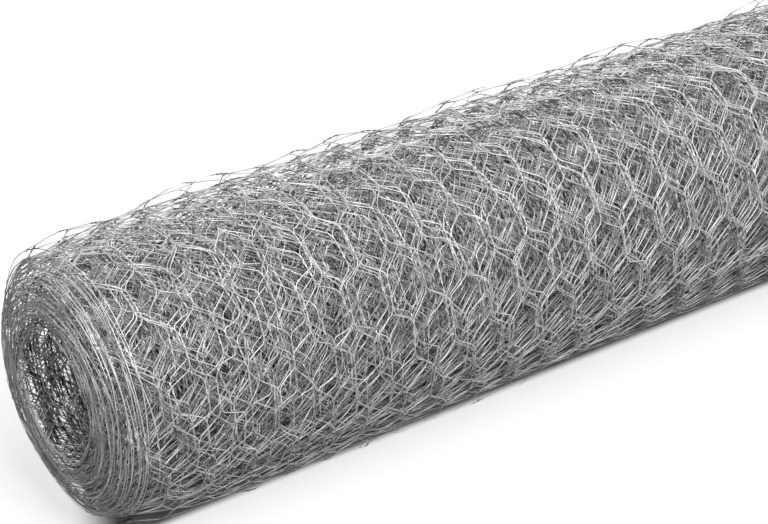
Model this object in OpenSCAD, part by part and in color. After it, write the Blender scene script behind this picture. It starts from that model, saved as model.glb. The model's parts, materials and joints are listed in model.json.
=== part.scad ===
// A roll of hexagonal wire netting, lying on its side.
// The netting is wound round on itself with no core tube, so the roll is one piece of stock.
// Its turns are packed tightly at the two selvages and stand fuller between them, and the turns are
// a little telescoped: each stands further out of the -X end than the turn that is wound over it.

/* [Netting] */
// Width of the netting, selvage to selvage
netting_width = 600; // [300:50:1200]
// Length of netting on the roll
netting_length = 15000; // [3000:500:30000]
// Radial room that one turn takes at a selvage
turn_pitch = 0.91; // [0.7:0.01:2.5]

/* [Roll] */
// Diameter of the open bore
bore_d = 71; // [40:1:120]
// How much fuller the middle of the roll is than its ends, on the radius
belly_swell = 10.5; // [4:0.5:14]
// Length over which the roll swells from an end to its full radius
shoulder_length = 62; // [30:1:120]
// How far the innermost turn stands out past the outermost one
telescope = 14; // [4:1:30]
// How much of that comes in the outermost turns: 1 spreads it evenly, and more rounds the end over at its rim
rounding_over = 3.2; // [1:0.1:4]

/* [Turns on the ends] */
// Share of a turn's pitch that the groove beside it takes
groove_share = 0.45; // [0.2:0.05:0.7]
// Depth of the groove between two turns
groove_depth = 1.2; // [0.5:0.1:3]

/* [Hidden] */
$fn = 128;
shoulder_steps = 6;

bore_r = bore_d / 2;
// The number of whole turns whose lengths, at their mean radii, add up to the netting's length
turns = round((sqrt(bore_r * bore_r + netting_length * turn_pitch / PI) - bore_r) / turn_pitch);
end_r = bore_r + turns * turn_pitch;
belly_r = end_r + belly_swell;
overall_length = netting_width + telescope;
half_length = overall_length / 2;
groove_w = groove_share * turn_pitch;

// Radius and X of one turn's edge, from the groove's floor on its bore side to its outer corner.
// x is where the turn's edge stands.
function turn_edge(turn, x, inwards) =
    let (inner = bore_r + turn * turn_pitch)
    [
        if (turn > 0) [inner, x + inwards * groove_depth],
        [turn > 0 ? inner + groove_w / 2 : inner, x],
        [inner + turn_pitch - (turn < turns - 1 ? groove_w / 2 : 0), x],
    ];

// How far a turn is set back from the innermost one
function set_back(turn) = telescope * pow(turn / (turns - 1), rounding_over);

// The -X end, from the bore outwards, where the inner turns stand proud
function proud_end() =
    [for (turn = [0 : turns - 1]) each turn_edge(turn, set_back(turn) - half_length, 1)];

// The +X end, from the outside inwards, where the inner turns lie back
function dished_end() =
    [
        for (turn = [turns - 1 : -1 : 0])
            let (edge = turn_edge(turn, half_length - telescope + set_back(turn), -1))
            each [for (i = [len(edge) - 1 : -1 : 0]) edge[i]]
    ];

// The swell beside one end: a quarter of a sine wave, from the end's radius to the belly's
function shoulder(x_end, inwards) =
    [
        for (i = [1 : shoulder_steps])
            let (share = i / shoulder_steps)
            [end_r + belly_swell * sin(90 * share), x_end + inwards * shoulder_length * share]
    ];

function reversed(points) = [for (i = [len(points) - 1 : -1 : 0]) points[i]];

// Half of the roll's section through its axis, as [radius, x]
function section() =
    concat(
        proud_end(),
        shoulder(-half_length + telescope, 1),
        reversed(shoulder(half_length, -1)),
        dished_end()
    );

module netting_roll() {
    color("silver")
        translate([0, 0, belly_r])
            rotate([0, 90, 0])
                rotate_extrude()
                    polygon(section());
}

netting_roll();
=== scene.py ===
"""Looks of a roll of hexagonal wire netting, wound on itself and lying on its side.

One twist of the netting and the two wires that leave it are modelled flat. They are repeated into lengths of
flat netting, and each length is then wound on to the roll, outwards from the open bore.
"""

import json
import math

import bmesh
import bpy
import numpy as np
from mathutils import Matrix, Vector


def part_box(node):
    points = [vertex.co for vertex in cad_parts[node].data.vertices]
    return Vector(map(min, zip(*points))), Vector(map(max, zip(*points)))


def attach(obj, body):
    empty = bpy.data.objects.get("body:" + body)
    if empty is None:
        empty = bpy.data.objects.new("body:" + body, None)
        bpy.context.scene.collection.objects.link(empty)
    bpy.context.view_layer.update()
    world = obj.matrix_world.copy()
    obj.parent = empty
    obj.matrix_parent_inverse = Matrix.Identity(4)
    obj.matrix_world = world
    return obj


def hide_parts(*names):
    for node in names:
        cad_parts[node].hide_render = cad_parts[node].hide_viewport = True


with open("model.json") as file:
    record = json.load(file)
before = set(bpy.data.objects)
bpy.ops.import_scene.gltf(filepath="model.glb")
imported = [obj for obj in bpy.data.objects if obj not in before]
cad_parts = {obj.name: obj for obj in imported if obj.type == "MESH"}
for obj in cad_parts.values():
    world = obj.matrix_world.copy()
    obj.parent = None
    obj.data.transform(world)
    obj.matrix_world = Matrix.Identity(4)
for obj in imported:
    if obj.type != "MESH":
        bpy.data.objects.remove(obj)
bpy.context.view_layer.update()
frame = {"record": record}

TAU = 2 * math.pi
MM = 0.001

# ---------------------------------------------------------------- sizes of the roll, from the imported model
ROLL_LOW, ROLL_HIGH = (Vector(corner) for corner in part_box("netting_roll"))
BORE = frame["record"]["mounts"][0]
BORE_R = BORE["dims"]["r_mm"] * MM
NETTING_WIDTH = BORE["dims"]["length_mm"] * MM
AXIS_Z = BORE["pos_m"][2]
BELLY_R = (ROLL_HIGH.z - ROLL_LOW.z) / 2
TELESCOPE = (ROLL_HIGH.x - ROLL_LOW.x) - NETTING_WIDTH
INNER_MIDDLE_X = ROLL_LOW.x + NETTING_WIDTH / 2

# ---------------------------------------------------------------- sizes of the netting
WIRE_R = 0.28 * MM
EDGE_WIRE_R = 0.30 * MM
MESHES_ACROSS = 24
MESH = NETTING_WIDTH / MESHES_ACROSS
# Length of netting from one row of twists to the next, and how much of it the twist takes
ROW = 28.0 * MM
TWIST = 17.0 * MM

# ---------------------------------------------------------------- sizes of the winding
TURNS = 43
# Radius over the outermost turn at a selvage
END_R = 74.63 * MM
TURN_PITCH = (END_R - BORE_R) / TURNS
# Angle round the roll's axis, from +Y towards +Z, at which the netting's free end lies
END_ANGLE = math.radians(242)
SHOULDER = 62 * MM
# How much fuller the middle is than the ends, on the radius, in the tight turns and in the loose last one
TIGHT_SWELL = 6.4 * MM
LOOSE_SWELL = BELLY_R - END_R - 2.2 * MM
SWELL_POWER = 0.6
ROUNDING_OVER = 3.2
# Room for the edge wires inside the netting's stated width
EDGE_ROOM = 1.2 * MM
# The last turn comes loose over half a turn, and its edge stands off at the proud end between these places,
# which are counted in turns back from the free end
LOOSE_FROM = 1.15
LOOSE_OVER = 0.5
LIFT_FROM = 0.80
LIFT_TO = 0.30
LIFT_OVER = 0.15
EDGE_LIFT = 2.6 * MM
# The last rows are squashed together at the free end and stand off there. SQUASH is how many rows they lose.
# Across the netting none is lost up to SQUASH_FROM, and all of them are from SQUASH_OVER further on
SQUASHED_ROWS = 4
SQUASH = 2.3
SQUASH_FROM = -120 * MM
SQUASH_OVER = 160 * MM
END_LIFT = 2.2 * MM
# How much further the fullest tight turn stands out beneath the axis than above it
SAG = 2.8 * MM
# Towards the proud end the turns lie more muddled on each other, by up to this much again
MUDDLE = 2.2
MUDDLE_FROM = 60 * MM
MUDDLE_OVER = 240 * MM
# How far the turns wander: along the netting in rows, across it, and outwards
DRIFT_ROWS = 0.095
KINK_ROWS = 0.032
LOOSE_ROWS = 0.10
DRIFT_SWAY = 1.3 * MM
DEEP_SWAY = 1.2 * MM
KINK_SWAY = 0.7 * MM
LOOSE_SWAY = 2.0 * MM
MOST_SWAY = 7 * MM
# Shares of the wander along and across that are left at a selvage
HELD_ALONG = 0.15
HELD_ACROSS = 0.4
BUNDLE_OUT = 1.1 * MM
SLACK_OUT = 0.35 * MM
KINK_OUT = 0.33 * MM
LOOSE_OUT = 1.6 * MM
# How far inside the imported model's box every point is kept
INSIDE_BOX = 0.02 * MM


def only(piece):
    """Selects one piece alone and makes it the active one."""
    bpy.ops.object.select_all(action="DESELECT")
    piece.select_set(True)
    bpy.context.view_layer.objects.active = piece


def add_modifier(piece, kind, **settings):
    """Adds a modifier and applies it at once."""
    only(piece)
    modifier = piece.modifiers.new(kind, kind)
    for name, value in settings.items():
        setattr(modifier, name, value)
    bpy.ops.object.modifier_apply(modifier=modifier.name)


def joined(pieces, name):
    bpy.ops.object.select_all(action="DESELECT")
    for piece in pieces:
        piece.select_set(True)
    bpy.context.view_layer.objects.active = pieces[0]
    bpy.ops.object.join()
    pieces[0].name = pieces[0].data.name = name
    return pieces[0]


def copied(piece, offset=(0, 0, 0), turn=None):
    """A copy with its own mesh, turned and then moved."""
    other = piece.copy()
    other.data = piece.data.copy()
    bpy.context.collection.objects.link(other)
    if turn:
        other.data.transform(turn)
    other.data.transform(Matrix.Translation(offset))
    return other


# ---------------------------------------------------------------- one wire, laid flat
# Flat netting has x across it and y along it.

def wire_ring(centre, sides, radius, rolled):
    """A ring that a wire starts from, square to y and rolled about it."""
    bpy.ops.object.select_all(action="DESELECT")
    bpy.ops.mesh.primitive_circle_add(vertices=sides, radius=radius, fill_type="NOTHING",
                                      location=centre, rotation=(math.radians(-90), 0, 0))
    ring = bpy.context.active_object
    bpy.ops.object.transform_apply(location=True, rotation=True, scale=True)
    if rolled:
        ring.data.transform(Matrix.Translation(centre) @ Matrix.Rotation(rolled, 4, "Y")
                            @ Matrix.Translation(-Vector(centre)))
    return ring


def draw_on(wire, steps, centre):
    """Extrudes the wire's open end, round the given centre, along steps of (across, along, bend, roll)."""
    end = Vector(centre)
    only(wire)
    bpy.ops.object.mode_set(mode="EDIT")
    bpy.ops.mesh.select_mode(type="VERT")
    mesh = bmesh.from_edit_mesh(wire.data)
    for vertex in mesh.verts:
        vertex.select = abs(vertex.co.y - end.y) < 0.05 * MM
    mesh.select_flush_mode()
    bmesh.update_edit_mesh(wire.data)
    facing = 0.0
    for across, along, bend, roll in steps:
        bpy.ops.mesh.extrude_edges_move(TRANSFORM_OT_translate={"value": (across, along, 0)})
        end += Vector((across, along, 0))
        if roll:
            axis = Vector((math.sin(facing), math.cos(facing), 0))
            turn_selected(wire, end, Matrix.Rotation(roll, 4, axis))
        if bend - facing:
            turn_selected(wire, end, Matrix.Rotation(facing - bend, 4, "Z"))
            facing = bend
    bpy.ops.object.mode_set(mode="OBJECT")


def turn_selected(wire, centre, turn):
    """Turns the selected vertices about a centre."""
    mesh = bmesh.from_edit_mesh(wire.data)
    for vertex in mesh.verts:
        if vertex.select:
            vertex.co = centre + turn @ (vertex.co - centre)
    bmesh.update_edit_mesh(wire.data)


# Steps of a slanted wire from one twist to the next: shares of its way across and along, then its lean
SLANT_SHARES = {1: [(1.0, 1.0, 0)],
                2: [(0.5, 0.5, 48), (0.5, 0.5, 0)],
                4: [(0.10, 0.20, 36), (0.40, 0.30, 53), (0.40, 0.30, 36), (0.10, 0.20, 0)]}
# Steps of an edge wire in every two rows
EDGE_STEPS = 14
# Width of a wire of four or three flat sides, against the round one that it stands for
FOUR_SIDED = 0.96
THREE_SIDED = 1.08
# The wires of the hidden turns are drawn wider still, so that the roll hides as much as a real one
BURIED = 1.65
HALF_BURIED = 1.25


def slanted(sides, slant):
    """Steps of a slanted wire from the end of its twist. One of three sides rolls to meet the next twist."""
    across, along = MESH / 2 - 2 * WIRE_R, ROW - TWIST
    odd_roll = math.radians(60) / slant if sides % 2 else 0
    return [(across * a, along * b, math.radians(bend), odd_roll) for a, b, bend in SLANT_SHARES[slant]]


def strand(sides, twist_steps, slant, fullness):
    """One of the two wires of a twist: three half turns round its fellow, then away to the next twist."""
    start = Vector((-WIRE_R, 0, 0))
    wire = wire_ring(start, sides, WIRE_R * fullness, 0)
    add_modifier(wire, "SCREW", axis="Y", angle=1.5 * TAU, screw_offset=TWIST, steps=twist_steps,
                 render_steps=twist_steps, use_merge_vertices=False, use_normal_calculate=False)
    draw_on(wire, slanted(sides, slant), (WIRE_R, TWIST, 0))
    return wire


def twist_unit(sides, twist_steps, slant, fullness):
    """Both wires of a twist, the second half a turn on from the first."""
    one = strand(sides, twist_steps, slant, fullness)
    other = copied(one, turn=Matrix.Rotation(math.pi, 4, "Y"))
    return joined([one, other], "twist")


def edge_knot(sides, twist_steps, slant, fullness):
    """The wire that comes to the netting's edge, winds round the edge wire and goes back."""
    reach = EDGE_WIRE_R + WIRE_R
    start = Vector((reach, 0, 0))
    wire = wire_ring(start, sides, WIRE_R * fullness, 0)
    add_modifier(wire, "SCREW", axis="Y", angle=2 * TAU, screw_offset=TWIST, steps=twist_steps,
                 render_steps=twist_steps, use_merge_vertices=False, use_normal_calculate=False)
    draw_on(wire, slanted(sides, slant), (reach, TWIST, 0))
    wire.data.transform(Matrix.Translation((WIRE_R - reach, 0, 0)))
    return wire


def edge(name, rows, knot):
    """Both edge wires of a number of rows of netting, with the knots that hold the netting to them."""
    knots = rows // 2
    parts = []
    for side in (-1, 1):
        row = copied(knot, (-NETTING_WIDTH / 2, ROW, 0))
        add_modifier(row, "ARRAY", use_relative_offset=False, use_constant_offset=True, count=knots,
                     constant_offset_displace=(0, 2 * ROW, 0))
        wire = wire_ring(Vector((-NETTING_WIDTH / 2 - EDGE_WIRE_R, 0, 0)), 4, EDGE_WIRE_R, math.radians(45))
        step = 2 * ROW / EDGE_STEPS
        draw_on(wire, [(0, step, 0, 0)], wire.data.vertices[0].co.copy())
        add_modifier(wire, "ARRAY", use_relative_offset=False, use_constant_offset=True,
                     count=knots * EDGE_STEPS, constant_offset_displace=(0, step, 0))
        parts += [row, wire]
        if side > 0:
            for part in parts[-2:]:
                part.data.transform(Matrix.Rotation(math.pi, 4, "Y"))
    return joined(parts, name)


def netting(name, rows, unit):
    """Flat netting of an even number of rows. The first row's twists stand half a mesh in from the edge."""
    near = copied(unit, (-NETTING_WIDTH / 2 + MESH / 2, 0, 0))
    far = copied(unit, (-NETTING_WIDTH / 2 + MESH, ROW, 0))
    for row, count in ((near, MESHES_ACROSS), (far, MESHES_ACROSS - 1)):
        add_modifier(row, "ARRAY", use_relative_offset=False, use_constant_offset=True, count=count,
                     constant_offset_displace=(MESH, 0, 0))
    sheet = joined([near, far], name)
    add_modifier(sheet, "ARRAY", use_relative_offset=False, use_constant_offset=True, count=rows // 2,
                 constant_offset_displace=(0, 2 * ROW, 0))
    return sheet


# ---------------------------------------------------------------- winding

# Rows of netting in one turn, by turn from the bore. The outer turns hold close to an even number of rows,
# so their meshes nearly line up, as they do where the twists of one turn drop into the meshes of the next.
# The inner turns hold as many rows as their own length gives.
LOCKED_TURNS = 13
LOCKED_ROWS = 18 - 0.066
LOCKING_OVER = 0.6
DEEP_OVER = 3
# The tables go a little past the last turn, for rows that are shifted beyond it
SPARE_TURNS = 0.6
free_turns = np.linspace(0, TURNS - LOCKED_TURNS, 12)
free_rates = TAU * (BORE_R + (END_R + TIGHT_SWELL - BORE_R) * free_turns / TURNS) / ROW
ROW_TURNS = np.append(free_turns, [TURNS - LOCKED_TURNS + LOCKING_OVER, TURNS + SPARE_TURNS])
ROWS_A_TURN = np.append(free_rates, [LOCKED_ROWS, LOCKED_ROWS])
# The meshes are drawn out lengthways on one side of the roll, about this angle, and closed up on the other
DRAWN_OUT = 0.07
DRAWN_ANGLE = math.radians(144)

turn_table = np.linspace(0, TURNS + SPARE_TURNS, 6000)
rate_table = np.interp(turn_table, ROW_TURNS, ROWS_A_TURN)
row_table = np.concatenate([[0], np.cumsum((rate_table[1:] + rate_table[:-1]) / 2 * np.diff(turn_table))])
angle_table = END_ANGLE + TAU * (turn_table - TURNS)
row_table = row_table - DRAWN_OUT * rate_table / TAU * np.sin(angle_table - DRAWN_ANGLE)
row_table -= row_table[0]
ROWS = int(np.interp(TURNS, turn_table, row_table)) // 2 * 2


class Waves:
    """Smooth seeded noise, about one in size, over any number of coordinates, each with its own length."""

    def __init__(self, seed, lengths, count):
        draw = np.random.default_rng(seed)
        # The waves differ in length, and 0.55 keeps most of them longer than the given one
        self.k = draw.normal(size=(count, len(lengths))) * TAU / np.array(lengths) * 0.55
        self.phase = draw.uniform(0, TAU, count)
        self.scale = math.sqrt(2 / count)

    def __call__(self, *coordinates):
        total = np.zeros_like(coordinates[0])
        for k, phase in zip(self.k, self.phase):
            total += np.sin(sum(a * c for a, c in zip(k, coordinates)) + phase)
        return total * self.scale


# The lengths are metres across the netting, rows and turns. The bundles have angle and turns instead
slack = Waves(11, (0.35, 6.0, 3.0), 16)
bundle = Waves(12, (1.3, 2.0), 16)
drift_across = Waves(13, (0.3, 9.0, 0.5), 18)
drift_along = Waves(14, (0.22, 9.0, 0.8), 18)
kink_across = Waves(15, (0.035, 2.2, 0.7), 14)
kink_along = Waves(16, (0.035, 2.2, 0.7), 14)
kink_out = Waves(17, (0.045, 2.0, 0.7), 14)
loose_across = Waves(18, (0.09, 4.0), 12)
loose_along = Waves(19, (0.09, 4.0), 12)
loose_out = Waves(20, (0.07, 2.6), 14)


def eased(value):
    """A smooth step from 0 to 1."""
    value = np.clip(value, 0, 1)
    return value * value * (3 - 2 * value)


def wind(sheet, first_row):
    """Moves every point of a flat sheet, whose first row is the given one, to its place on the roll."""
    count = len(sheet.data.vertices)
    flat = np.empty(count * 3)
    sheet.data.vertices.foreach_get("co", flat)
    across, along, out = flat.reshape(-1, 3).T
    row = first_row + along / ROW
    turn = np.interp(row, row_table, turn_table)
    loose = eased((turn - (TURNS - LOOSE_FROM)) / LOOSE_OVER)
    edge = eased((NETTING_WIDTH / 2 - np.abs(across)) / SHOULDER)
    muddled = 1 + MUDDLE * eased((MUDDLE_FROM - across) / MUDDLE_OVER)
    shift = (drift_along(across, row, turn) * DRIFT_ROWS * muddled + kink_along(across, row, turn) * KINK_ROWS
             + loose * loose_along(across, row) * LOOSE_ROWS) * (HELD_ALONG + (1 - HELD_ALONG) * edge)
    last = np.clip((row - (ROWS - SQUASHED_ROWS)) / SQUASHED_ROWS, 0, 1)
    shift -= SQUASH * last ** 2 * eased((across - SQUASH_FROM) / SQUASH_OVER) * edge
    turn = np.interp(row + shift, row_table, turn_table)
    angle = END_ANGLE + TAU * (turn - TURNS)
    deep = eased((TURNS - LOCKED_TURNS - turn) / DEEP_OVER)
    sway = (drift_across(across, row, turn) * (DRIFT_SWAY * muddled + DEEP_SWAY * deep)
            + kink_across(across, row, turn) * KINK_SWAY
            + loose * loose_across(across, row) * LOOSE_SWAY) * (HELD_ACROSS + (1 - HELD_ACROSS) * edge)
    x = across * (1 - 2 * EDGE_ROOM / NETTING_WIDTH) + np.clip(sway, -MOST_SWAY, MOST_SWAY)
    x = np.clip(x, -NETTING_WIDTH / 2, NETTING_WIDTH / 2)
    x += INNER_MIDDLE_X + TELESCOPE * np.clip(turn / (TURNS - 1), 0, 1) ** ROUNDING_OVER
    swell = np.sin(np.clip((NETTING_WIDTH / 2 - np.abs(across)) / SHOULDER, 0, 1) * math.pi / 2)
    outwards = np.clip(turn / TURNS, 0, 1)
    full = TIGHT_SWELL * outwards ** SWELL_POWER * (1 - loose) + loose * LOOSE_SWELL
    radius = BORE_R + 2 * WIRE_R + TURN_PITCH * turn + full * swell
    radius += bundle(angle, turn) * BUNDLE_OUT + slack(across, row, turn) * SLACK_OUT * swell
    radius += kink_out(across, row, turn) * KINK_OUT + loose * loose_out(across, row) * LOOSE_OUT * swell
    lifted = eased((turn - (TURNS - LIFT_FROM)) / LIFT_OVER) * eased((TURNS - LIFT_TO - turn) / LIFT_OVER)
    radius += EDGE_LIFT * lifted * (1 - swell) * (across < 0)
    radius += SAG * swell * outwards ** 2 * (1 - loose) * (1 - np.sin(angle)) / 2
    radius += END_LIFT * last * swell
    radius += out
    radius = np.minimum(radius, BELLY_R - INSIDE_BOX)
    x = np.clip(x, ROLL_LOW.x + INSIDE_BOX, ROLL_HIGH.x - INSIDE_BOX)
    wound = np.stack([x, radius * np.cos(angle), AXIS_Z + radius * np.sin(angle)], -1)
    sheet.data.vertices.foreach_set("co", wound.ravel())
    sheet.data.update()


# ---------------------------------------------------------------- zinc

def add_node(tree, kind, **inputs):
    """A shader node with some of its sockets set, each by its name with underscores for spaces."""
    node = tree.nodes.new(kind)
    for name, value in inputs.items():
        node.inputs[name.replace("_", " ")].default_value = value
    return node


def math_node(tree, operation, first, second):
    """A maths node on two sockets or numbers."""
    node = tree.nodes.new("ShaderNodeMath")
    node.operation = operation
    for socket, value in zip(node.inputs, (first, second)):
        if isinstance(value, (int, float)):
            socket.default_value = value
        else:
            tree.links.new(value, socket)
    return node.outputs[0]


PATCHES_A_METRE = 90
PIMPLES_A_PATCH = 7


def zinc_bloom():
    """Dull and bright patches of old zinc, as a shade, and its fine runs and pimples as a height."""
    group = bpy.data.node_groups.new("Zinc bloom", "ShaderNodeTree")
    face = group.interface
    face.new_socket("Place", in_out="INPUT", socket_type="NodeSocketVector")
    patch = face.new_socket("Patches per metre", in_out="INPUT", socket_type="NodeSocketFloat")
    patch.default_value = PATCHES_A_METRE
    face.new_socket("Shade", in_out="OUTPUT", socket_type="NodeSocketFloat")
    face.new_socket("Height", in_out="OUTPUT", socket_type="NodeSocketFloat")
    enter = group.nodes.new("NodeGroupInput")
    leave = group.nodes.new("NodeGroupOutput")
    link = group.links.new
    broad = add_node(group, "ShaderNodeTexNoise", Detail=2.0, Roughness=0.6)
    link(enter.outputs["Place"], broad.inputs["Vector"])
    link(enter.outputs["Patches per metre"], broad.inputs["Scale"])
    finer = math_node(group, "MULTIPLY", enter.outputs["Patches per metre"], PIMPLES_A_PATCH)
    pimples = add_node(group, "ShaderNodeTexNoise", Detail=3.0, Roughness=0.7)
    link(enter.outputs["Place"], pimples.inputs["Vector"])
    link(finer, pimples.inputs["Scale"])
    spread = add_node(group, "ShaderNodeMapRange", From_Min=0.32, From_Max=0.68)
    link(broad.outputs[0], spread.inputs["Value"])
    speckle = add_node(group, "ShaderNodeMapRange", From_Min=0.3, From_Max=0.7)
    link(pimples.outputs[0], speckle.inputs["Value"])
    both = group.nodes.new("ShaderNodeMix")
    both.inputs["Factor"].default_value = 0.35
    link(spread.outputs[0], both.inputs["A"])
    link(speckle.outputs[0], both.inputs["B"])
    link(both.outputs["Result"], leave.inputs["Shade"])
    link(pimples.outputs[0], leave.inputs["Height"])
    return group


def zinc_material():
    material = bpy.data.materials.new("galvanised_wire")
    material.use_nodes = True
    tree = material.node_tree
    shader = tree.nodes["Principled BSDF"]
    shader.inputs["Metallic"].default_value = 0.5
    place = tree.nodes.new("ShaderNodeTexCoord")
    bloom = tree.nodes.new("ShaderNodeGroup")
    bloom.node_tree = zinc_bloom()
    colour = tree.nodes.new("ShaderNodeMix")
    colour.data_type = "RGBA"
    dull, bright = colour.inputs[6], colour.inputs[7]
    dull.default_value = (0.26, 0.262, 0.268, 1)
    bright.default_value = (0.55, 0.55, 0.55, 1)
    rough = add_node(tree, "ShaderNodeMapRange", To_Min=0.68, To_Max=0.48)
    bump = add_node(tree, "ShaderNodeBump", Strength=0.5, Distance=0.02 * MM)
    tree.links.new(place.outputs["Object"], bloom.inputs["Place"])
    tree.links.new(bloom.outputs["Shade"], colour.inputs["Factor"])
    tree.links.new(bloom.outputs["Shade"], rough.inputs["Value"])
    tree.links.new(bloom.outputs["Height"], bump.inputs["Height"])
    tree.links.new(colour.outputs[2], shader.inputs["Base Color"])
    tree.links.new(rough.outputs[0], shader.inputs["Roughness"])
    tree.links.new(bump.outputs[0], shader.inputs["Normal"])
    return material


ZINC = zinc_material()


# ---------------------------------------------------------------- the pieces of the roll

def keep(piece):
    """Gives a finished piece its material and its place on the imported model."""
    piece.data.materials.clear()
    piece.data.materials.append(ZINC)
    only(piece)
    bpy.ops.object.shade_smooth()
    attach(piece, "root")
    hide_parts("netting_roll")


def wind_on(sheet, first):
    """Closes the wires of a flat sheet and winds it on, from its first row."""
    only(sheet)
    bpy.ops.object.mode_set(mode="EDIT")
    bpy.ops.mesh.select_all(action="SELECT")
    bpy.ops.mesh.remove_doubles(threshold=0.02 * MM)
    bpy.ops.mesh.fill_holes(sides=4)
    bpy.ops.mesh.select_all(action="SELECT")
    # Winding turns a sheet's faces over, so they are set inwards here to stand outwards on the roll
    bpy.ops.mesh.normals_make_consistent(inside=True)
    bpy.ops.object.mode_set(mode="OBJECT")
    wind(sheet, first)
    keep(sheet)


# Each is given its wires' sides, the steps of its twist and of its slanted stretch, and its wires' width
fine = twist_unit(4, 6, 4, FOUR_SIDED)
plain = twist_unit(3, 3, 1, THREE_SIDED)
half_buried = twist_unit(3, 3, 1, HALF_BURIED)
buried = twist_unit(3, 3, 1, BURIED)
knot = edge_knot(3, 10, 2, THREE_SIDED)

# The rows seen in the bore and on the outside are finely made, and those between are in four plainer pieces
BORE_ROWS = 14
OUTER_ROWS = 44
OUTERMOST_ROWS = 22
outermost = ROWS - OUTERMOST_ROWS
outer = outermost - OUTER_ROWS
inner_units = (buried, half_buried, half_buried, plain)
cuts = np.linspace(BORE_ROWS, outer, len(inner_units) + 1).astype(int) // 2 * 2
wind_on(netting("netting_outermost", OUTERMOST_ROWS, fine), outermost)
wind_on(netting("netting_outer", OUTER_ROWS, fine), outer)
for i, unit in enumerate(inner_units):
    wind_on(netting("netting_inner_%d" % (i + 1), cuts[i + 1] - cuts[i], unit), cuts[i])
wind_on(netting("netting_bore", BORE_ROWS, fine), 0)
wind_on(edge("selvages", ROWS, knot), 0)
for model in (fine, plain, half_buried, buried, knot):
    bpy.data.objects.remove(model)

# ---------------------------------------------------------------- studio

# Shade of the floor's paper as the camera sees it and as it lights the roll, and its glow for the camera
SHADE_SEEN = 0.15
SHADE_UNSEEN = 0.24
GLOW = 0.72
# Strength of the sky as it lights the roll and as the camera sees it
SKY = 0.66
SKY_SEEN = 1.0
# How much y is taken into x, so that one edge of the painted shadow runs slantwise under the roll's proud end
SLANT = -0.43


def outside_painted_shadow(tree):
    """A mask that is 1 on the open floor and 0 beneath and just behind the roll, where it cuts a painted
    shadow into the floor's glow.
    """
    place = tree.nodes.new("ShaderNodeTexCoord")
    parts = tree.nodes.new("ShaderNodeSeparateXYZ")
    tree.links.new(place.outputs["Object"], parts.inputs[0])
    x, y = parts.outputs[0], parts.outputs[1]
    slant = math_node(tree, "ADD", math_node(tree, "MULTIPLY", y, SLANT), x)
    # Each edge of the painted shadow, in metres: where it is still dark, and where the floor is open
    edges = ((slant, -0.272, -0.302), (x, 0.22, 0.34), (y, -0.024, -0.032), (y, 0.05, 0.21))
    fades = []
    for axis, dark, lit in edges:
        fade = add_node(tree, "ShaderNodeMapRange", From_Min=dark, From_Max=lit, To_Min=1, To_Max=0)
        fade.interpolation_type = "SMOOTHSTEP"
        tree.links.new(axis, fade.inputs["Value"])
        fades.append(fade.outputs[0])
    painted_shadow = fades[0]
    for fade in fades[1:]:
        painted_shadow = math_node(tree, "MULTIPLY", painted_shadow, fade)
    return math_node(tree, "SUBTRACT", 1, painted_shadow)


def paper_material():
    """Paper that is near white for the camera and plain grey for the light that falls back on the roll. Its
    glow for the camera is taken away beneath and just behind the roll, which paints the roll's shadow on it.
    """
    paper = bpy.data.materials.new("paper")
    paper.use_nodes = True
    tree = paper.node_tree
    shader = tree.nodes["Principled BSDF"]
    shader.inputs["Roughness"].default_value = 0.9
    shader.inputs["Emission Color"].default_value = (1, 1, 1, 1)
    seen = tree.nodes.new("ShaderNodeLightPath").outputs["Is Camera Ray"]
    shade = add_node(tree, "ShaderNodeMapRange", To_Min=SHADE_UNSEEN, To_Max=SHADE_SEEN)
    tree.links.new(seen, shade.inputs["Value"])
    tree.links.new(shade.outputs[0], shader.inputs["Base Color"])
    # The camera's glow is masked by a painted shadow beneath and just behind the roll
    glow_with_painted_shadow = math_node(tree, "MULTIPLY", math_node(tree, "MULTIPLY", seen, GLOW), outside_painted_shadow(tree))
    tree.links.new(glow_with_painted_shadow, shader.inputs["Emission Strength"])
    return paper


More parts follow.
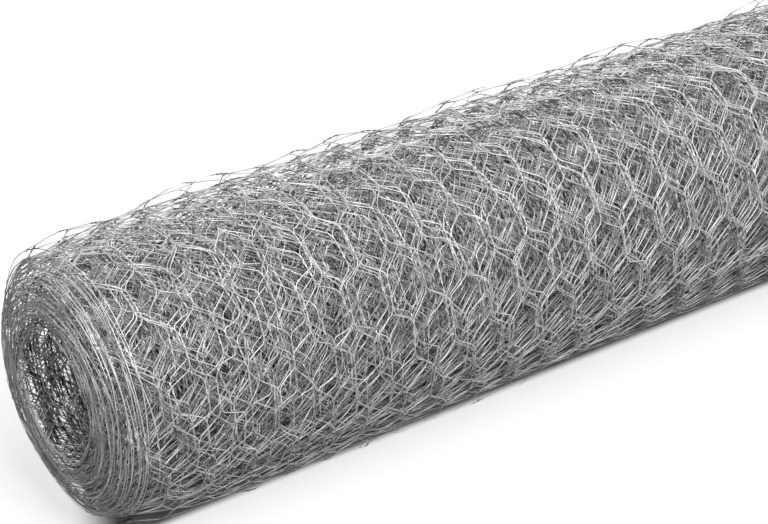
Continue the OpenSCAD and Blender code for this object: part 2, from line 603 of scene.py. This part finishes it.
def studio():
    bpy.ops.object.select_all(action="DESELECT")
    bpy.ops.mesh.primitive_plane_add(size=12, location=(0, 0, 0))
    floor = bpy.context.active_object
    floor.name = "floor"
    floor.data.materials.append(paper_material())
    world = bpy.data.worlds.new("studio")
    world.use_nodes = True
    sky = world.node_tree.nodes["Background"]
    sky.inputs["Color"].default_value = (1, 1, 1, 1)
    seen = world.node_tree.nodes.new("ShaderNodeLightPath")
    strength = add_node(world.node_tree, "ShaderNodeMapRange", To_Min=SKY, To_Max=SKY_SEEN)
    world.node_tree.links.new(seen.outputs["Is Camera Ray"], strength.inputs["Value"])
    world.node_tree.links.new(strength.outputs[0], sky.inputs["Strength"])
    bpy.context.scene.world = world

    def softbox(name, place, aim, size, power):
        light = bpy.data.lights.new(name, "AREA")
        light.shape = "RECTANGLE"
        light.size, light.size_y = size
        light.energy = power
        holder = bpy.data.objects.new(name, light)
        bpy.context.collection.objects.link(holder)
        holder.location = place
        holder.rotation_euler = (Vector(aim) - Vector(place)).to_track_quat("-Z", "Y").to_euler()

    softbox("overhead", (0.0, -0.35, 1.8), (0, 0, 0.08), (1.2, 1.2), 35)
    softbox("front", (-0.25, -1.15, 1.3), (-0.1, 0, 0.08), (0.7, 0.7), 41.5)


def camera():
    """A long lens on the proud end and the half of the roll beside it."""
    azimuth, elevation, distance = math.radians(-35.65), math.radians(29.77), 1.3818
    near_end = Vector((ROLL_LOW.x + TELESCOPE, 0, AXIS_Z))
    aim = near_end + Vector((0.1510, -0.0679, 0.0574))
    back = Vector((math.sin(azimuth) * math.cos(elevation), -math.cos(azimuth) * math.cos(elevation),
                   math.sin(elevation)))
    lens = bpy.data.cameras.new("camera")
    lens.sensor_width = 36
    lens.lens = 123.0
    lens.clip_start = 0.05
    holder = bpy.data.objects.new("camera", lens)
    bpy.context.collection.objects.link(holder)
    holder.location = aim + back * distance
    holder.rotation_euler = back.to_track_quat("Z", "Y").to_euler()
    bpy.context.scene.camera = holder


studio()
camera()
bpy.context.scene.view_settings.view_transform = "Standard"
